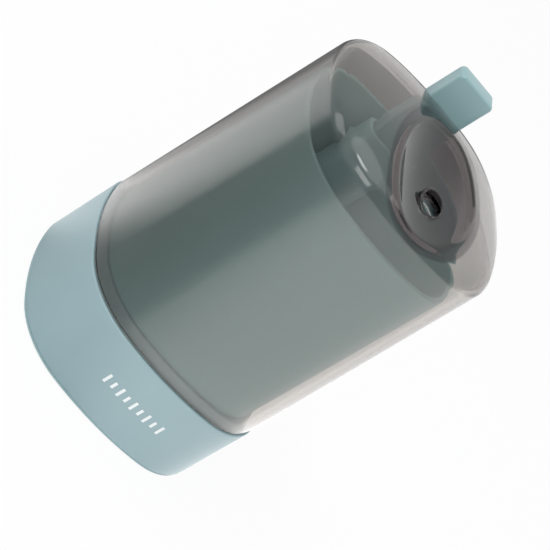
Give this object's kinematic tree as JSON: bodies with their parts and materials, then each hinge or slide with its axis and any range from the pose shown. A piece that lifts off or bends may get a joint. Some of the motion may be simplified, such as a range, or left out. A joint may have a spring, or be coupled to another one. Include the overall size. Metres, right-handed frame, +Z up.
{
  "type": "toothpick dispenser",
  "caption": "Rounded-square toothpick dispenser: smoky clear domed cover with a scoop and outlet hole, coloured base, inner store and a sprung press tab.",
  "frame": {"origin": "centre of the footprint, at the undersides of the foot pads", "axes": "+Z up, -Y towards the front face, +X to the right seen from the front"},
  "size_m": [0.07, 0.07, 0.1214],
  "materials": {
    "base_plastic": "satin moulded pale blue-green",
    "hopper_plastic": "moulded blue-green",
    "tab_plastic": "satin moulded blue-green",
    "smoky_clear": "polished smoky clear acrylic",
    "slide_plastic": "natural acetal",
    "pad_rubber": "matt",
    "post_steel": "ground",
    "screw_steel": "bright plated",
    "spring_steel": "drawn wire",
    "bush_brass": "turned"
  },
  "bodies": {
    "base": {"base_plate": "base_plastic", "base_shell": "base_plastic", "foot_pad_front_left": "pad_rubber", "foot_pad_front_right": "pad_rubber", "foot_pad_back_left": "pad_rubber", "foot_pad_back_right": "pad_rubber", "plate_screws": "screw_steel", "guide_post_left": "post_steel", "guide_post_right": "post_steel", "post_caps": "screw_steel", "hopper": "hopper_plastic", "hopper_screws": "screw_steel", "funnel_insert": "hopper_plastic", "pin_sleeve": "slide_plastic", "return_spring_left": "spring_steel", "return_spring_right": "spring_steel"},
    "plunger": {"press_tab": "tab_plastic", "plunger_yoke": "slide_plastic", "guide_bush_left": "bush_brass", "guide_bush_right": "bush_brass", "plunger_screws": "screw_steel", "lifter_pin": "post_steel", "pin_clip": "screw_steel"},
    "cover": {"cover_shell": "smoky_clear"}
  },
  "joints": [
    {"name": "tab_press", "type": "slide", "parent": "base", "child": "plunger", "axis": [0, 0, -1], "range_m": [0, 0.009], "stiffness_N_per_m": 250, "springref_m": -0.004, "deforming": ["return_spring_left", "return_spring_right"]},
    {"name": "cover_lift", "type": "slide", "parent": "base", "child": "cover", "axis": [0, 0, 1], "range_m": [0, 0.1]}
  ]
}
